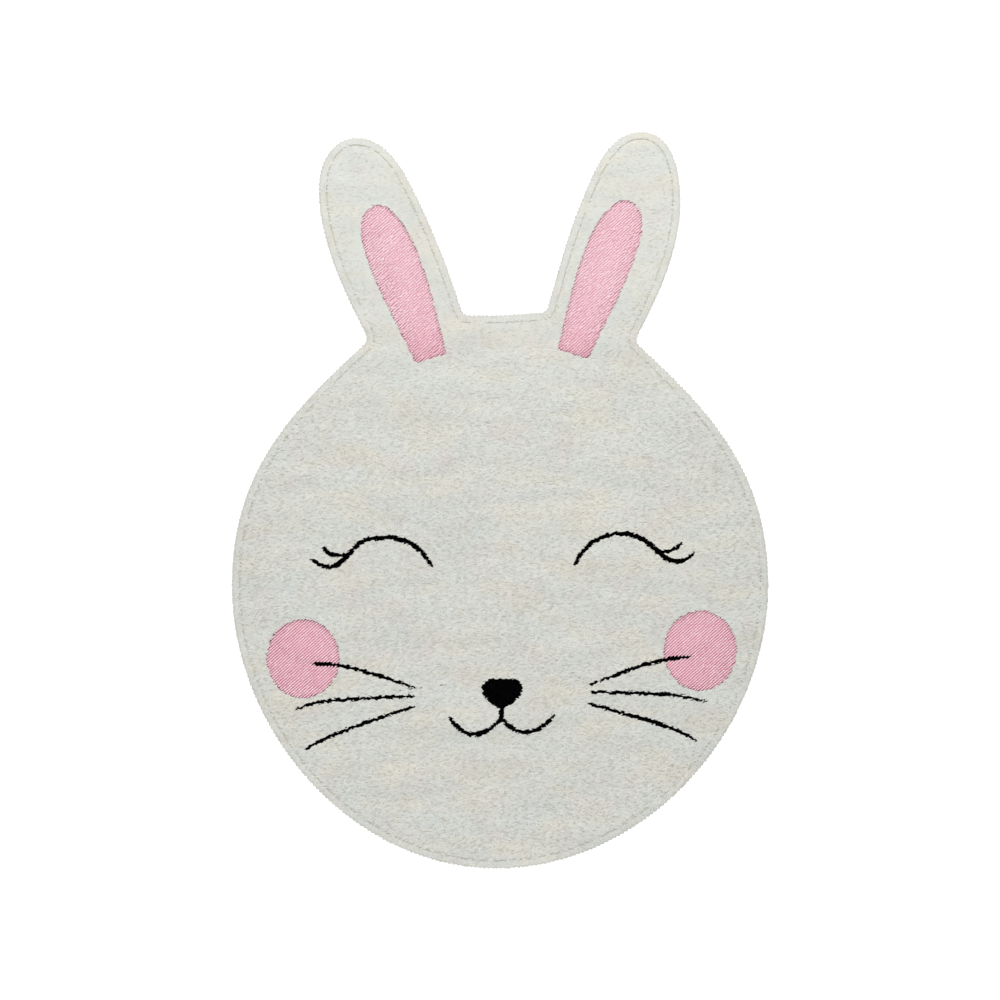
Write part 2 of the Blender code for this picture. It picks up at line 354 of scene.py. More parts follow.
def makeGroundCotton():
    # unbleached cotton in plain weave, 1.6 mm apart both ways: the rug's ground and its underside
    material, tree, shader = newMaterial("ground_cotton", {"Roughness": 0.95, "Specular IOR Level": 0.2})
    spot = addNode(tree, "ShaderNodeTexCoord").outputs["Object"]
    scale = 1 / (1.6 * mm) / 10  # times pi, because a wave texture of scale 1 repeats ten times in pi metres
    threads = []
    for way in ("X", "Y"):
        wave = addNode(tree, "ShaderNodeTexWave", {"Scale": scale * math.pi, "bands_direction": way},
                       {"Vector": spot})
        threads.append(wave.outputs["Fac"])
    weave = addNode(tree, "ShaderNodeMath", {"operation": "MULTIPLY"}, {0: threads[0], 1: threads[1]})
    cream = colourRamp(tree, weave.outputs[0], [(0.0, "BDB7A6"), (1.0, "DEDACC")])
    tree.links.new(cream, shader.inputs["Base Color"])
    bump = addNode(tree, "ShaderNodeBump", {"Strength": 0.6, "Distance": 0.4 * mm},
                   {"Height": weave.outputs[0]})
    tree.links.new(bump.outputs[0], shader.inputs["Normal"])
    return material


chenillePile = makeChenillePile("chenille_pile", (1.0, 1.0, 1.0))
paintedShadeFoot = makeChenillePile("chenille_foot_painted_shade", (0.92, 0.915, 0.89))  # painted shade: darkened as if in the shade of the tips
# the first colour of each twill is its painted shade down between the floats
earTwill = makePinkTwill("pink_twill_ears", "CE9FAD", ("EBBCC7", "F0CBD4", "F4D9DF"), (0.28, 0.21))
cheekTwill = makePinkTwill("pink_twill_cheeks", "C0889A", ("EFB8C7", "F5C9D3", "F9DBE1"), (-0.9, -1.0))
blackYarn = makeBlackYarn()
seamThread = makeSeamThread()
groundCotton = makeGroundCotton()
print("materials made")


# many small copies of one shape, joined in one mesh

lowest = 0.02 * mm       # nothing goes through the floor
underneath = 1.2 * mm    # below this height the pile faces the floor
mapMargin = 10 * mm      # room round the rug in its flat map
tuftForm = {             # along it, its breadth and its ridge's height, from root to tip
    "profile": ((0.0, 0.0, 0.0), (0.25, 0.95, 0.5), (0.74, 0.8, 0.42), (1.0, 0.0, -0.2)),
    "foot": -0.45,
}
floatStations = (0.0, 0.15, 0.5, 0.85, 1.0)  # where a float has its rings of corners, along its length


def shapeArrays(shape):
    bmesh.ops.triangulate(shape, faces=shape.faces)
    shape.verts.index_update()
    points = np.array([v.co[:] for v in shape.verts])
    faces = np.array([[v.index for v in f.verts] for f in shape.faces])
    shape.free()
    return points, faces


def joinedCopies(name, template, spots, material, extra=None, softness=0.0):
    # template runs along +X from 0 to 1. Each spot gives its root, heading, length, width and thickness,
    # and its height above the floor at each of the template's stations along X.
    # softness turns the normals up by that share, as light does inside a fluffy yarn.
    points, faces = template
    stations = np.unique(np.round(points[:, 0], 4))
    station = np.searchsorted(stations, np.round(points[:, 0], 4))
    count, size = len(spots["root"]), len(points)
    along = points[None, :, 0] * spots["length"][:, None]
    aside = points[None, :, 1] * spots["width"][:, None]
    aside = aside + along * points[None, :, 0] * spots["bend"][:, None]
    cosine, sine = np.cos(spots["heading"])[:, None], np.sin(spots["heading"])[:, None]
    placed = np.empty((count, size, 3))
    placed[:, :, 0] = spots["root"][:, 0, None] + along * cosine - aside * sine
    placed[:, :, 1] = spots["root"][:, 1, None] + along * sine + aside * cosine
    placed[:, :, 2] = spots["heights"][:, station] + points[None, :, 2] * spots["thick"][:, None]
    vertices = placed.reshape(-1, 3)
    vertices[:, 2] = np.maximum(vertices[:, 2], lowest)
    triangles = (faces[None] + np.arange(count)[:, None, None] * size).reshape(-1, 3)
    strand = np.repeat(spots["strand"], size)
    # height in the template, which the materials turn into painted shade low on each copy
    shadeHeight = np.tile(points[:, 2] + 0.5, count)
    across = np.tile(points[:, 1], count)
    if extra is not None:
        moreVertices, moreTriangles = extra
        triangles = np.vstack([triangles, moreTriangles + len(vertices)])
        vertices = np.vstack([vertices, moreVertices])
        # the added bed gets the lowest height, so a twill paints it in its shaded gap colour
        strand = np.concatenate([strand, np.full(len(moreVertices), 0.5)])
        shadeHeight = np.concatenate([shadeHeight, np.zeros(len(moreVertices))])
        across = np.concatenate([across, np.zeros(len(moreVertices))])
    mesh = bpy.data.meshes.new(name)
    mesh.from_pydata(vertices, [], triangles)
    for attribute, values in (("strand", strand), ("shadeHeight", shadeHeight), ("across", across)):
        mesh.attributes.new(attribute, "FLOAT", "POINT").data.foreach_set("value", values)
    if softness:
        mesh.shade_smooth()
        turned = np.empty(len(vertices) * 3)
        mesh.vertex_normals.foreach_get("vector", turned)
        turned = turned.reshape(-1, 3) * (1 - softness)
        turned[:, 2] += np.where(vertices[:, 2] > underneath, softness, -softness)
        mesh.normals_split_custom_set_from_vertices(turned / np.linalg.norm(turned, axis=1)[:, None])
    flatMap = mesh.uv_layers.new(name="OFBake")  # a map seen from above
    corner = np.array(cadBox[0])[:2] - mapMargin
    reach = max(cadBox[1][0] - cadBox[0][0], cadBox[1][1] - cadBox[0][1]) + 2 * mapMargin
    flatMap.uv.foreach_set("vector", ((vertices[triangles.ravel(), :2] - corner) / reach).ravel())
    print(name, len(triangles), "triangles")
    return newPiece(name, mesh, material)


def tuftShape():
    # one tuft: a soft ridge lying on the cloth, open below where nothing shows
    shape = bmesh.new()
    bmesh.ops.create_grid(shape, x_segments=3, y_segments=2, size=0.5)
    for vertex in shape.verts:
        along, breadth, ridge = tuftForm["profile"][round((vertex.co.x + 0.5) * 3)]
        onRidge = abs(vertex.co.y) < 0.1 or breadth == 0
        vertex.co = (along, vertex.co.y * breadth, ridge if onRidge else tuftForm["foot"])
    bmesh.ops.remove_doubles(shape, verts=shape.verts, dist=0.001)
    return shapeArrays(shape)


def floatShape():
    # one float of a woven yarn: a slim rounded grain, open below
    shape = bmesh.new()
    bmesh.ops.create_uvsphere(shape, u_segments=6, v_segments=4, radius=0.5)
    bmesh.ops.rotate(shape, verts=shape.verts, cent=(0, 0, 0),
                     matrix=Matrix.Rotation(math.radians(90), 3, "Y"))
    bmesh.ops.translate(shape, verts=shape.verts, vec=(0.5, 0, 0))
    hidden = [f for f in shape.faces if f.calc_center_median().z < -0.2]  # sunk in the bed
    bmesh.ops.delete(shape, geom=hidden, context="FACES")
    return shapeArrays(shape)


# the cloth: its ground, its turned edge and its underside

cloth = {
    "pullIn": 1.6 * mm,       # the ground stays this far inside the pile's outline
    "wallFoot": 1.1 * mm,
    "wallTop": 3.3 * mm,
    "upper": (                # inward and up or down, over the turned edge and down to the seam
        (0.8 * mm, 1.0 * mm), (2.0 * mm, 0.9 * mm), (3.4 * mm, 0.0),
        (2.2 * mm, -1.0 * mm), (1.3 * mm, -0.8 * mm),
    ),
    "lower": (                # round the foot of the edge, across the turned strip, up its cut end
        (0.5 * mm, 0.8 * mm), (0.9 * mm, 0.3 * mm), (11.3 * mm, 0.0), (0.3 * mm, -0.8 * mm),
    ),
    "sharp": math.radians(50),
}


def makeCloth():
    shape = bmesh.new()
    edge = rimCorners - fromRim(rimCorners)[1] * cloth["pullIn"]
    rimFace = shape.faces.new([shape.verts.new((x, y, cloth["wallFoot"])) for x, y in edge])
    extruded = bmesh.ops.extrude_face_region(shape, geom=[rimFace])["geom"]
    top = [g for g in extruded if isinstance(g, bmesh.types.BMFace)][0]
    raised = [g for g in extruded if isinstance(g, bmesh.types.BMVert)]
    bmesh.ops.translate(shape, verts=raised, vec=(0, 0, cloth["wallTop"] - cloth["wallFoot"]))
    bmesh.ops.recalc_face_normals(shape, faces=shape.faces)
    for face, profile in ((top, cloth["upper"]), (rimFace, cloth["lower"])):
        for inward, rise in profile:
            bmesh.ops.inset_region(shape, faces=[face], thickness=inward, depth=rise,
                                   use_even_offset=True)
    bmesh.ops.triangulate(shape, faces=[f for f in shape.faces if len(f.verts) > 4])
    piece = newPiece("rug_cloth", meshFrom("rug_cloth", shape), groundCotton)
    piece.data.set_sharp_from_angle(angle=cloth["sharp"])
    return piece


rugCloth = makeCloth()
groundTop = cloth["wallTop"] + sum(rise for _, rise in cloth["upper"])
print("cloth made, ground at", round(groundTop / mm, 2), "mm")


# woven figures: pink twill patches and black lines

twill = {
    "angle": math.radians(41),    # the wales rise to the right
    "row": 2.8 * mm,              # height between rows of floats
    "along": 5.14 * mm,           # from wale to wale, level
    "length": 6.2 * mm,
    "width": 2.75 * mm,
    "thick": 1.3 * mm,
    "top": 4.7 * mm,
    "turn": math.radians(-5),     # each float lies a little flatter than its wale
    "climb": 2.4 * mm,
    "early": 1.7,                 # how far out the pile makes it climb, as a share of its own half length
    "grow": 1.3 * mm,             # how far it goes on under the pile's edge
    "uneven": 0.12,
    "stray": 0.15 * mm,           # how far a float lies out of its place
    "sway": 0.06,                 # and how far it turns, in radians
    "ripple": 0.06 * mm,          # and how far it lies too high or too low
    "widths": (0.93, 1.07),
    "climbs": (0.5, 1.0),
    "drops": (0.55 * mm, 0.1 * mm, 0.0, 0.1 * mm, 0.55 * mm),  # how it arches from end to end
    "shade": (0.5, 0.26),         # middle and spread, from 0 for dark to 1 for pale
}
looserTwill = {**twill, "uneven": 0.25, "stray": 0.38 * mm, "sway": 0.14}  # the ears' weave is rougher
figure = {
    **twill,
    "angle": math.radians(38),
    "row": 1.9 * mm,
    "along": 2.7 * mm,
    "length": 4.0 * mm,
    "width": 2.2 * mm,
    "top": 4.8 * mm,
    "turn": 0.0,
    "climb": 3.2 * mm,
    "early": 1.0,
    "grow": 0.4 * mm,
    "uneven": 0.25,
    "stray": 0.0,
    "sway": 0.05,
}
weaveBed = {                  # the shallow bed of the same yarn under the floats
    "thick": 0.5 * mm,
    "grow": 1.6 * mm,         # how far it goes on under the pile
    "sunk": 0.1 * mm,
}
widestRow = 400               # more floats either side of the middle than any row holds


def bedArrays(level, keep):
    # the figure's floor from the frame's rug, lowered on to the ground and given a thickness
    shape = mergedCadCopy()
    others = [f for f in shape.faces if not (
        f.normal.z > survey["flatEnough"] and abs(f.calc_center_median().z - level) < survey["nearEnough"]
        and keep(f.calc_center_median()))]
    bmesh.ops.delete(shape, geom=others, context="FACES")
    made = bmesh.ops.inset_region(shape, faces=shape.faces[:], thickness=-weaveBed["grow"],
                                  use_even_offset=True, use_boundary=True)  # below nothing, so that it grows
    bmesh.ops.delete(shape, geom=made["faces"], context="FACES")
    for vertex in shape.verts:
        vertex.co.z = groundTop + weaveBed["thick"]
    extruded = bmesh.ops.extrude_face_region(shape, geom=shape.faces[:])["geom"]
    lowered = [g for g in extruded if isinstance(g, bmesh.types.BMVert)]
    bmesh.ops.translate(shape, verts=lowered, vec=(0, 0, -weaveBed["thick"] - weaveBed["sunk"]))
    bmesh.ops.recalc_face_normals(shape, faces=shape.faces)
    return shapeArrays(shape)


def weaveFigure(name, sizes, zone, level, keep, material, seed):
    draw = np.random.default_rng(seed)
    step = np.array([sizes["row"] / math.tan(sizes["angle"]), sizes["row"]])
    rows = np.arange(math.floor(cadBox[0][1] / sizes["row"]), math.ceil(cadBox[1][1] / sizes["row"]))
    columns = np.arange(-widestRow, widestRow)
    row, column = [grid.ravel() for grid in np.meshgrid(rows, columns, indexing="ij")]
    middle = row[:, None] * step + np.stack([column * sizes["along"], np.zeros(len(column))], axis=1)
    inBox = (middle[:, 0] > cadBox[0][0]) & (middle[:, 0] < cadBox[1][0])
    middle = middle[inBox]
    ways = direction(np.arange(0, 2 * math.pi, math.pi / 4)) * sizes["grow"]
    near = np.any([zoneAt(middle + way) == zone for way in ways], axis=0)
    middle = middle[near & (zoneAt(middle) != offZone)]
    middle = middle[[keep(Vector((x, y, 0))) for x, y in middle]]
    if zone == pinkZone:
        middle = middle[zoneAt(middle) != blackZone]
    count = len(middle)
    middle = middle + draw.normal(0, 1, middle.shape) * sizes["stray"]
    heading = sizes["angle"] + sizes["turn"] + draw.normal(0, sizes["sway"], count)
    length = sizes["length"] * draw.uniform(1 - sizes["uneven"], 1 + sizes["uneven"], count)
    back = direction(heading) * length[:, None] / 2
    middleHeight = sizes["top"] - sizes["thick"] / 2 + draw.normal(0, sizes["ripple"], count)
    heights = middleHeight[:, None] - np.array(sizes["drops"])
    for station, share in enumerate(floatStations):  # an end that nears the pile climbs into it
        ahead = direction(heading) * (sizes["early"] * (share - 0.5) * length)[:, None]
        beyond = zoneAt(middle + ahead) == pileZone
        heights[:, station] += sizes["climb"] * beyond * draw.uniform(*sizes["climbs"], count)
    spots = {
        "root": middle - back, "heading": heading, "length": length,
        "width": sizes["width"] * draw.uniform(*sizes["widths"], count),
        "thick": np.full(count, sizes["thick"]),
        "heights": heights, "bend": np.zeros(count),
        "strand": np.clip(draw.normal(*sizes["shade"], count), 0.0, 1.0),
    }
    return joinedCopies(name, floatShape(), spots, material, bedArrays(level, keep))


def isEar(spot):
    return spot.y > 0.1  # the cheeks are below


figurePieces = {
    "ear_twill_left": weaveFigure("ear_twill_left", looserTwill, pinkZone, survey["patchLevel"],
                                  lambda p: isEar(p) and p.x < 0, earTwill, 11),
    "ear_twill_right": weaveFigure("ear_twill_right", looserTwill, pinkZone, survey["patchLevel"],
                                   lambda p: isEar(p) and p.x > 0, earTwill, 12),
    "cheek_twill_left": weaveFigure("cheek_twill_left", twill, pinkZone, survey["patchLevel"],
                                    lambda p: not isEar(p) and p.x < 0, cheekTwill, 13),
    "cheek_twill_right": weaveFigure("cheek_twill_right", twill, pinkZone, survey["patchLevel"],
                                     lambda p: not isEar(p) and p.x > 0, cheekTwill, 14),
    "face_lines": weaveFigure("face_lines", figure, blackZone, survey["lineLevel"],
                              lambda p: True, blackYarn, 15),
}
print("figures woven")


# the pile

pile = {
    "spacing": 2.86 * mm,
    "jitter": 0.4,            # how far a tuft is out of its place, as a share of the spacing
    "length": 9.0 * mm,
    "lengths": (0.75, 1.2),   # shortest and longest, as shares of the length
    "width": 2.5 * mm,
    "widths": (0.8, 1.25),
    "slimBelow": 5 * mm,      # shorter tufts are slimmer too
    "slimmest": 0.6,
    "thick": 1.2 * mm,
    "thicks": (0.8, 1.2),
    "heading": math.radians(7),
    "spread": math.radians(20),
    "swirl": math.radians(13),
    "swirlSize": 90 * mm,
    "facingBack": 0.45,       # share of the tufts that lie the other way
    "softness": 0.7,
    "earSoftness": 0.84,
    "sunk": 0.3 * mm,         # root below the top of the bed
    "belly": 0.5 * mm,        # and the belly and the tip above it
    "tip": 1.0 * mm,
    "waves": 0.15 * mm,       # soft unevenness of the pile's top
    "waveSize": 16 * mm,
    "ruffle": 0.13 * mm,      # and the hard one, from tuft to tuft
    "bend": 0.14,             # how far a tip swings aside, as a share of the length
}
border = {                    # where the pile meets a woven figure
    "overPink": 1.8 * mm,     # most that a tuft leans over a patch's edge
    "overLine": 1.5 * mm,     # and over a line of the eyes, the nose or the mouth
    "overWhisker": 2.0 * mm,  # and over a whisker
    "whiskersFrom": 0.11,     # the whiskers are this far from the middle
    "whiskersBelow": -0.2,    # and lower down the rug than this
    "lean": 1.5,              # above 1, so that most lean over it only a little
    "tried": (1.0, 0.8, 0.6, 0.4, 0.2),  # shares of a tuft's length that are looked at
    "halfTry": 0.1,
    "shortest": 1.6 * mm,
    "stub": 0.45,             # a tuft cut down to this share turns about
    "droop": 1.3 * mm,        # a tip over a figure hangs down
}
rimPile = {                   # where the pile goes over the turned edge
    "width": 6.5 * mm,        # the tufts this near the outline point out
    "start": 1.2 * mm,        # and none stands nearer than this
    "turn": math.radians(28),
    "lengths": 0.8,           # as a share of the others' length
    "shortest": 1.5 * mm,
    "clump": 6.6 * mm,        # the rim's clumps are this far apart
    "scallop": 0.8 * mm,
    "inset": 0.7 * mm,
    "ragged": 0.25 * mm,
    "droop": 1.0 * mm,        # a tip beyond the outline hangs down
}
furrow = {                    # where the seam draws the pile in
    "inset": 11 * mm,
    "width": 1.4 * mm,
    "beside": 4.5 * mm,       # the tufts this near the seam may lean away from it
    "strength": 0.6,          # the share of them that do
    "moreAtEars": 0.35,
    "wider": 0.5,             # how much wider it is at the ears
    "patchSize": 45 * mm,     # it is open here and closed there
    "patches": (0.78, 0.22),
    "turn": math.radians(35),
    "bare": 0.8,              # the share of tufts missing in it where it is strongest
}
earward = {"from": 0.15, "over": 0.2}  # up the rug, where the ears' pile starts and how far it takes
bed = {                       # the close foot of the pile, under the tips
    "foot": 3.6 * mm,         # its height where the edge starts to roll
    "top": 6.4 * mm,          # its height in the field
    "pullIn": 1.2 * mm,       # from the edge and from the figures
    "hem": 0.6 * mm,          # how far down it goes outside the ground cloth
    "hemWidth": 1.9 * mm,     # this near the outline it is outside the cloth
    "sunk": 0.2 * mm,         # elsewhere it goes this far into the cloth
    "steepest": 0.2,          # the walls of the frame's rug are left out
    "sharp": math.radians(40),
}
cadPile = {"wallTop": 4.5 * mm, "top": 8.0 * mm}
turnedEdge = ([0, 1 * mm, 4 * mm, 9.5 * mm, 11 * mm, 12.5 * mm],
              [4.5 * mm, 6.5 * mm, 7.8 * mm, 8.0 * mm, 6.5 * mm, 8.0 * mm])


def pileHeight(inside):
    # height of the tips, as far in from the outline as given
    return np.interp(inside, *turnedEdge)


def bedHeight(inside):
    return np.interp(pileHeight(inside), [cadPile["wallTop"], cadPile["top"]], [bed["foot"], bed["top"]])


def makeBed():
    # the upper side of the frame's rug, drawn in a little and let down to where the yarns leave the cloth
    shape = mergedCadCopy()
    others = [f for f in shape.faces
              if f.normal.z < bed["steepest"]
              or f.calc_center_median().z < cadPile["wallTop"] + survey["nearEnough"]]
    bmesh.ops.delete(shape, geom=others, context="FACES")
    made = bmesh.ops.inset_region(shape, faces=shape.faces[:], thickness=bed["pullIn"],
                                  use_even_offset=True, use_boundary=True)
    bmesh.ops.delete(shape, geom=made["faces"], context="FACES")
    for vertex in shape.verts:
        share = (vertex.co.z - cadPile["wallTop"]) / (cadPile["top"] - cadPile["wallTop"])
        vertex.co.z = bed["foot"] + share * (bed["top"] - bed["foot"])
    extruded = bmesh.ops.extrude_face_region(shape, geom=shape.faces[:])["geom"]
    lowered = [g for g in extruded if isinstance(g, bmesh.types.BMVert)]
    inside = fromRim(np.array([v.co[:2] for v in lowered]))[0]
    for vertex, inward in zip(lowered, inside):  # it covers the outside of the edge
        vertex.co.z = bed["hem"] if inward < bed["hemWidth"] else groundTop - bed["sunk"]
    bmesh.ops.recalc_face_normals(shape, faces=shape.faces)
    return shapeArrays(shape)


def tuftSites(spacing, draw):
    rowGap = spacing * math.sqrt(3) / 2
    xs = np.arange(cadBox[0][0] - mapMargin, cadBox[1][0] + mapMargin, spacing)
    ys = np.arange(cadBox[0][1] - mapMargin, cadBox[1][1] + mapMargin, rowGap)
    gridX, gridY = np.meshgrid(xs, ys)
    gridX[1::2] += spacing / 2
    sites = np.stack([gridX.ravel(), gridY.ravel()], axis=1)
    sites += draw.uniform(-pile["jitter"], pile["jitter"], sites.shape) * spacing
    return sites[zoneAt(sites) == pileZone]


def keptOffFigures(root, heading, length, draw):
    # a tuft that reaches over a figure stops just past the figure's edge,
    # or turns about if that leaves it a stub
    whisker = (np.abs(root[:, 0]) > border["whiskersFrom"]) & (root[:, 1] < border["whiskersBelow"])
    overBlack = np.where(whisker, border["overWhisker"], border["overLine"])
    lean = draw.uniform(0, 1, len(root)) ** border["lean"]
    allowed = []
    for way in (heading, heading + math.pi):
        shortened = length.copy()
        for share in border["tried"]:
            zone = zoneAt(root + direction(way) * (share * length)[:, None])
            over = lean * np.where(zone == blackZone, overBlack, border["overPink"])
            reached = np.isin(zone, (pinkZone, blackZone))
            edge = (share - border["halfTry"]) * length  # about where the figure starts
            shortened = np.where(reached, np.minimum(shortened, edge + over), shortened)
        allowed.append(np.maximum(shortened, border["shortest"]))
    turned = (allowed[0] < border["stub"] * length) & (allowed[1] > allowed[0])
    return heading + math.pi * turned, np.where(turned, allowed[1], allowed[0])


def scallops(around):
    # how far the tufts at the rim reach beyond the outline, most where the clumps are
    return rimPile["scallop"] * np.cos(2 * math.pi * around / rimPile["clump"]) - rimPile["inset"]


def fieldTufts():
    draw = np.random.default_rng(7)
    root = tuftSites(pile["spacing"], draw)
    inside, out, around = fromRim(root)
    standing = inside > rimPile["start"]
    root, out, around, inside = [values[standing] for values in (root, out, around, inside)]
    count = len(root)

    # lie of the pile: along the rows, either way, swirling a little
    swirl = pile["swirl"] * softWaves(root, pile["swirlSize"], 1)
    heading = pile["heading"] + swirl + draw.normal(0, pile["spread"], count)
    heading += math.pi * (draw.random(count) < pile["facingBack"])
    length = pile["length"] * draw.uniform(*pile["lengths"], count)

    # on the turned edge the tufts point out over it, in small clumps
    onEdge = inside < rimPile["width"]
    outward = np.arctan2(out[:, 1], out[:, 0]) + draw.normal(0, rimPile["turn"], count)
    heading = np.where(onEdge, outward, heading)
    reach = inside + scallops(around) + draw.normal(0, rimPile["ragged"], count)
    edgeLength = np.clip(rimPile["lengths"] * length, rimPile["shortest"],
                         np.maximum(reach, rimPile["shortest"]))
    length = np.where(onEdge, edgeLength, length)

    # beside the seam they lean away from it, which leaves its furrow open, most of all at the ears
    atEars = np.clip((root[:, 1] - earward["from"]) / earward["over"], 0, 1)
    patches = furrow["patches"][0] + furrow["patches"][1] * softWaves(root, furrow["patchSize"], 3)
    strength = (furrow["strength"] + furrow["moreAtEars"] * atEars) * patches
    fromSeam = inside - furrow["inset"]
    beside = (np.abs(fromSeam) < furrow["beside"]) & (draw.random(count) < strength) & ~onEdge
    away = np.where(fromSeam > 0, -1.0, 1.0)[:, None] * out
    awayHeading = np.arctan2(away[:, 1], away[:, 0]) + draw.normal(0, furrow["turn"], count)
    heading = np.where(beside, awayHeading, heading)

    heading, length = keptOffFigures(root, heading, length, draw)
    tip = root + direction(heading) * length[:, None]
    tipInside = inside - np.einsum("ij,ij->i", direction(heading), out) * length
    width = furrow["width"] * (1 + furrow["wider"] * atEars)
    dip = np.exp(-((fromSeam / width) ** 2)) * strength
    lift = pile["waves"] * softWaves(root, pile["waveSize"], 2) + draw.normal(0, pile["ruffle"], count)
    rootZ = bedHeight(inside) - pile["sunk"]
    bellyZ = bedHeight(inside) + pile["belly"] + lift
    tipZ = bedHeight(np.clip(tipInside, 0, None)) + pile["tip"] + lift
    tipZ -= border["droop"] * (zoneAt(tip) != pileZone) + rimPile["droop"] * (tipInside < 0)
    keep = draw.random(count) > furrow["bare"] * dip
    slim = np.clip(length / pile["slimBelow"], pile["slimmest"], 1)
    spots = {
        "root": root, "heading": heading, "length": length,
        "width": pile["width"] * draw.uniform(*pile["widths"], count) * slim,
        "thick": pile["thick"] * draw.uniform(*pile["thicks"], count),
        "heights": np.stack([rootZ, bellyZ, 0.3 * bellyZ + 0.7 * tipZ, tipZ], axis=1),  # the neck is between
        "strand": draw.random(count), "bend": draw.normal(0, pile["bend"], count),
    }
    return {key: value[keep] for key, value in spots.items()}


wrap = {                      # the rows of tufts that wrap the turned edge
    "rows": (                 # in from the outline, length (none if they reach the rim), spacing,
                              # and the heights in mm of root, belly, neck and tip
        (10.2 * mm, 4.6 * mm, 2.4 * mm, (6.2, 7.2, 7.4, 7.4)),
        (8.0 * mm, 4.8 * mm, 2.2 * mm, (6.4, 7.3, 7.2, 7.0)),
        (5.6 * mm, 4.2 * mm, 2.0 * mm, (6.0, 6.8, 6.4, 6.0)),
        (3.9 * mm, None, 1.8 * mm, (5.6, 6.1, 5.1, 4.3)),
        (2.6 * mm, None, 1.65 * mm, (5.0, 4.9, 4.2, 3.5)),
        (2.0 * mm, None, 1.65 * mm, (3.9, 3.7, 2.9, 2.2)),
        (1.9 * mm, None, 1.65 * mm, (2.7, 2.4, 1.7, 1.2)),
        (1.9 * mm, None, 1.9 * mm, (1.6, 1.4, 0.9, 0.6)),
        (4.2 * mm, 4.0 * mm, 2.8 * mm, (0.5, 0.5, 0.5, 0.7)),
        (7.6 * mm, 5.4 * mm, 2.8 * mm, (0.4, 0.4, 0.4, 0.5)),
        (10.8 * mm, 5.4 * mm, 2.8 * mm, (0.4, 0.4, 0.4, 0.5)),
        (13.6 * mm, 5.4 * mm, 2.8 * mm, (0.4, 0.4, 0.4, 0.5)),
    ),
    "jitter": 0.3 * mm,
    "stand": 1.7 * mm,        # the clumps' tips stand this far out
    "between": 3.4,           # how much less the tips between two clumps do
    "gather": 0.45,           # how far the tips of a clump draw together
    "ragged": 0.15 * mm,
    "spread": math.radians(24),
    "lengths": (0.85, 1.15),
    "widths": (0.85, 1.2),
    "thick": 1.1 * mm,
    "thicks": (0.8, 1.2),
    "ruffle": 0.12 * mm,
}


def wrapTufts():
    # pile over the turned edge and down its outside, in small clumps, and flattened under the turned strip
    draw = np.random.default_rng(8)
    parts = []
    for inward, length, spacing, heights in wrap["rows"]:
        ring, outward = evenRing(rimCorners, spacing)
        count = len(ring)
        order = np.arange(count)
        root = ring - outward * inward + draw.normal(0, wrap["jitter"], ring.shape)
        if length is None:  # tufts near one another share a tip just outside the outline
            clump = np.round(order * spacing / rimPile["clump"]) * rimPile["clump"] / spacing
            gathered = order + wrap["gather"] * (clump - order)
            tip = np.stack([np.interp(gathered, order, ring[:, i], period=count) for i in (0, 1)], axis=1)
            apart = np.abs(clump - order) * spacing / rimPile["clump"]  # a half, between two clumps
            stand = wrap["stand"] * (1 - wrap["between"] * apart) + draw.normal(0, wrap["ragged"], count)
            run = tip + outward * stand[:, None] - root
            heading = np.arctan2(run[:, 1], run[:, 0])
            reach = np.linalg.norm(run, axis=1)
        else:
            heading = np.arctan2(outward[:, 1], outward[:, 0]) + draw.normal(0, wrap["spread"], count)
            reach = length * draw.uniform(*wrap["lengths"], count)
        facing = -1 if heights[0] < 1 else 1  # the rows under the strip face the floor
        parts.append({
            "root": root, "heading": heading, "length": reach,
            "width": facing * pile["width"] * draw.uniform(*wrap["widths"], count),
            "thick": facing * wrap["thick"] * draw.uniform(*wrap["thicks"], count),
            "heights": np.array(heights) * mm + draw.normal(0, wrap["ruffle"], count)[:, None],
            "strand": draw.random(count), "bend": draw.normal(0, pile["bend"], count),
        })
    return {key: np.concatenate([part[key] for part in parts]) for key in parts[0]}


allTufts = fieldTufts()
wrapped = wrapTufts()
allTufts = {key: np.concatenate([allTufts[key], wrapped[key]]) for key in allTufts}
tuft = tuftShape()
bedPoints, bedFaces = makeBed()
rootX, rootY = allTufts["root"][:, 0], allTufts["root"][:, 1]
earFoot, chinTop = 0.23, -0.13  # the pile is cut into three bands up the rug, and down the middle
bands = {
    "ear": rootY >= earFoot,
    "brow": (rootY < earFoot) & (rootY >= chinTop),
    "chin": rootY < chinTop,
}
pilePieces = {}
for band, inBand in bands.items():
    for side, onSide in (("left", rootX < 0), ("right", rootX >= 0)):
        chosen = {key: value[inBand & onSide] for key, value in allTufts.items()}
        pieceName = f"pile_{side}_{band}"
        pilePieces[pieceName] = joinedCopies(
            pieceName, tuft, chosen, chenillePile,
            softness=pile["earSoftness" if band == "ear" else "softness"])
bedMesh = bpy.data.meshes.new("pile_bed")
bedMesh.from_pydata(bedPoints, [], bedFaces)
# painted shade: all zero, so the bed takes the darkest tone and lowest height the pile's colour gives
for attributeName in ("strand", "shadeHeight", "across"):
    attribute = bedMesh.attributes.new(attributeName, "FLOAT", "POINT")
    attribute.data.foreach_set("value", [0.0] * len(bedPoints))
pilePieces["pile_bed"] = newPiece("pile_bed", bedMesh, paintedShadeFoot)
bedMesh.set_sharp_from_angle(angle=bed["sharp"])
print("pile laid:", len(rootX), "tufts")


# the seam along the turned edge

seam = {
    "pitch": 4.8 * mm,
    "length": 3.6 * mm,
    "width": 0.9 * mm,
    "thick": 0.8 * mm,
    "height": 5.3 * mm,
    "raised": 0.9 * mm,       # how much higher it lies at the ears, where it shows more
    "raisedFrom": 0.22,       # up the rug
    "raisedOver": 0.2,
    "drops": (1.2 * mm, 0.3 * mm, 0.0, 0.3 * mm, 1.2 * mm),  # how a stitch arches from end to end
    "sway": 0.05,
    "walk": 1.0 * mm,         # spacing of the points on its line
}


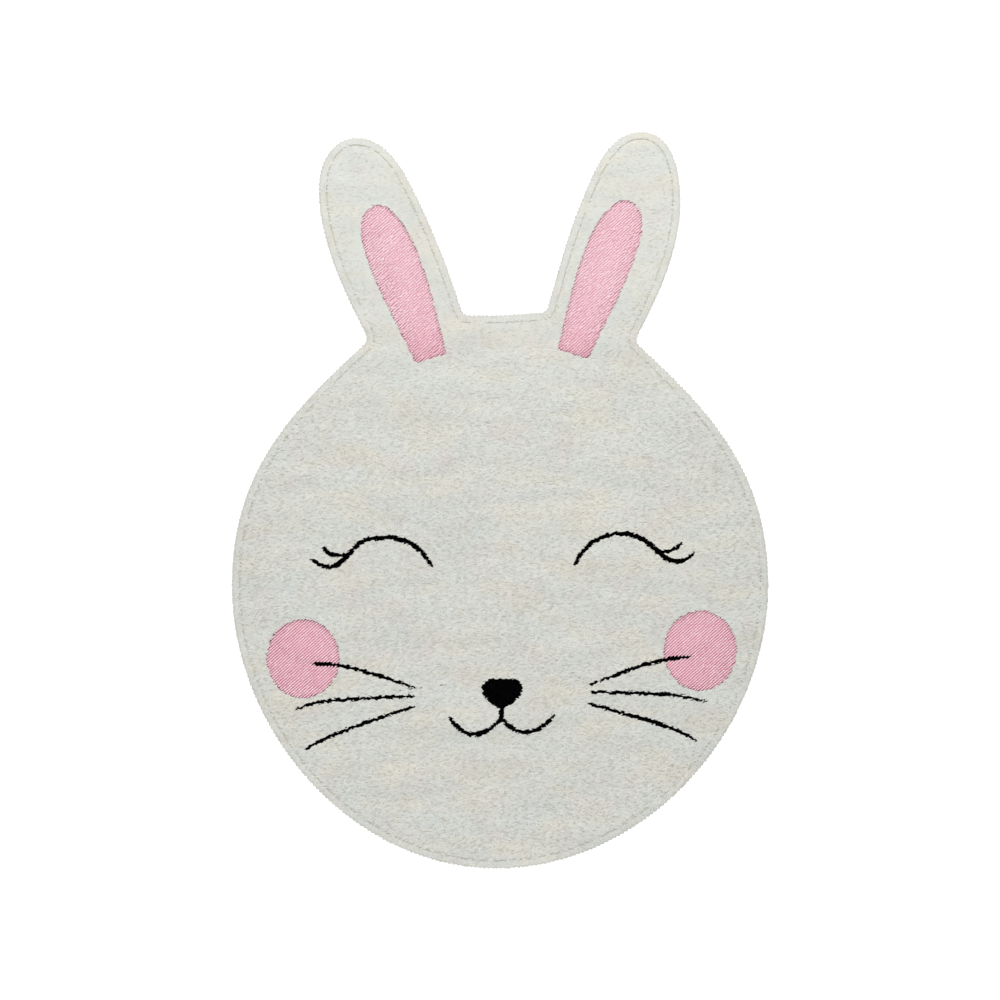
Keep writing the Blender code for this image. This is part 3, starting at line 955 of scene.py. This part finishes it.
def sewSeam():
    draw = np.random.default_rng(9)
    ring, outward = evenRing(rimCorners, seam["walk"])
    line = ring - outward * furrow["inset"]
    steps = np.linalg.norm(np.roll(line, -1, axis=0) - line, axis=1)
    along = np.concatenate([[0], np.cumsum(steps)])
    closed = np.vstack([line, line[:1]])
    starts = np.arange(0, along[-1] - seam["pitch"], seam["pitch"])
    begin = np.stack([np.interp(starts, along, closed[:, i]) for i in (0, 1)], axis=1)
    end = np.stack([np.interp(starts + seam["length"], along, closed[:, i]) for i in (0, 1)], axis=1)
    count = len(begin)
    run = end - begin
    atEars = np.clip((begin[:, 1] - seam["raisedFrom"]) / seam["raisedOver"], 0, 1)
    high = seam["height"] + seam["raised"] * atEars
    spots = {
        "root": begin, "heading": np.arctan2(run[:, 1], run[:, 0]) + draw.normal(0, seam["sway"], count),
        "length": np.full(count, seam["length"]),
        "width": np.full(count, seam["width"]), "thick": np.full(count, seam["thick"]),
        "heights": high[:, None] - np.array(seam["drops"]),
        "strand": draw.random(count), "bend": np.zeros(count),
    }
    return joinedCopies("edge_seam", floatShape(), spots, seamThread)


edgeSeam = sewSeam()
print("seam sewn")


# how the pieces belong together

for piece in [*figurePieces.values(), *pilePieces.values(), rugCloth, edgeSeam]:
    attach(piece, "root")
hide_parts("rug")


# floor, light and camera

studio = {
    "floorSize": 6.0,
    "floorDrop": 0.2 * mm,    # the floor lies this far under the rug
    "floorGlow": 0.45,        # it glows a little, so that it comes out white
    "sky": 0.452,
    "lamps": (                # name, place, aim, size and watts
        ("softbox_ears", (0.15, 1.7, 1.7), (0, 0.2, 0), 2.0, 47.5),
        ("softbox_chin", (-0.4, -1.6, 1.8), (0, -0.2, 0), 2.0, 27.5),
    ),
    "lens": 100,
    "farthest": 100,
    "frameWidth": 1.4925,     # width seen at the rug, in metres
}


def makeFloor():
    shape = bmesh.new()
    bmesh.ops.create_grid(shape, x_segments=2, y_segments=2, size=studio["floorSize"])
    bmesh.ops.translate(shape, verts=shape.verts, vec=(0, 0, cadBox[0][2] - studio["floorDrop"]))
    white = newMaterial("matt_white_floor", {
        "Base Color": linearColour("F6F6F5"), "Roughness": 0.9,
        "Emission Color": (1, 1, 1, 1), "Emission Strength": studio["floorGlow"],
    })[0]
    newPiece("floor", meshFrom("floor", shape), white)


def addLamp(name, place, aim, size, watts):
    data = bpy.data.lights.new(name, "AREA")
    data.shape = "SQUARE"
    data.size = size
    data.energy = watts
    lamp = bpy.data.objects.new(name, data)
    lamp.location = place
    lamp.rotation_euler = (Vector(aim) - Vector(place)).to_track_quat("-Z", "Y").to_euler()
    bpy.context.scene.collection.objects.link(lamp)


def setStudio():
    makeFloor()
    for lamp in studio["lamps"]:
        addLamp(*lamp)
    world = bpy.data.worlds.new("studio")
    world.use_nodes = True
    sky = world.node_tree.nodes["Background"]
    sky.inputs["Color"].default_value = (1, 1, 1, 1)
    sky.inputs["Strength"].default_value = studio["sky"]
    bpy.context.scene.world = world
    bpy.context.scene.view_settings.view_transform = "Standard"


def setCamera():
    data = bpy.data.cameras.new("overhead")
    data.lens = studio["lens"]
    data.clip_end = studio["farthest"]
    camera = bpy.data.objects.new("overhead", data)
    camera.location = (0, 0, cadBox[1][2] + studio["frameWidth"] * data.lens / data.sensor_width)
    bpy.context.scene.collection.objects.link(camera)
    bpy.context.scene.camera = camera


setStudio()
setCamera()
print("studio set")
